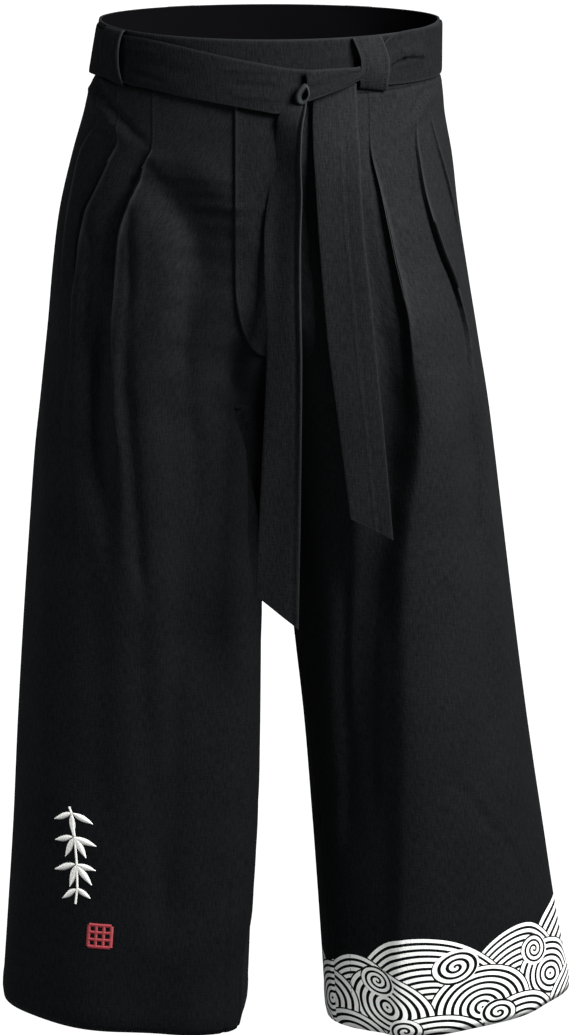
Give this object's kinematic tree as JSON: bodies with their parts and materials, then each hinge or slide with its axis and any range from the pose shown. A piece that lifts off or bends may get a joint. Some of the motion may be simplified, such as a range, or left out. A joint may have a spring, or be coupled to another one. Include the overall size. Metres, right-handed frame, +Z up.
{
  "type": "hakama trousers",
  "caption": "Wide-legged hakama trousers in dark woven cloth, held open as when worn: pleated fronts, a waistband, broad belt loops and a cloth belt tied in front with two hanging ends.",
  "frame": {"origin": "middle of the waist opening, halfway up the waistband", "axes": "+Z up the body, the front faces -Y, +X is the wearer's left"},
  "size_m": [0.558, 0.2959, 0.976],
  "materials": {
    "trouser_cloth": "black cotton and linen plain weave, slightly slubby, matt",
    "waistband_cloth": "the same black cloth, interlined and pressed flat",
    "belt_cloth": "the same black cloth, two layers, edges pressed"
  },
  "bodies": {
    "root": {"front_right": "trouser_cloth", "front_left": "trouser_cloth", "back_right": "trouser_cloth", "back_left": "trouser_cloth", "fly_placket": "trouser_cloth", "waistband_front": "waistband_cloth", "waistband_back": "waistband_cloth", "belt": "belt_cloth", "belt_knot": "belt_cloth", "belt_tie_long": "belt_cloth", "belt_tie_short": "belt_cloth", "belt_loop_front_left": "waistband_cloth", "belt_loop_front_right": "waistband_cloth", "belt_loop_back_left": "waistband_cloth", "belt_loop_back_right": "waistband_cloth"}
  },
  "joints": []
}
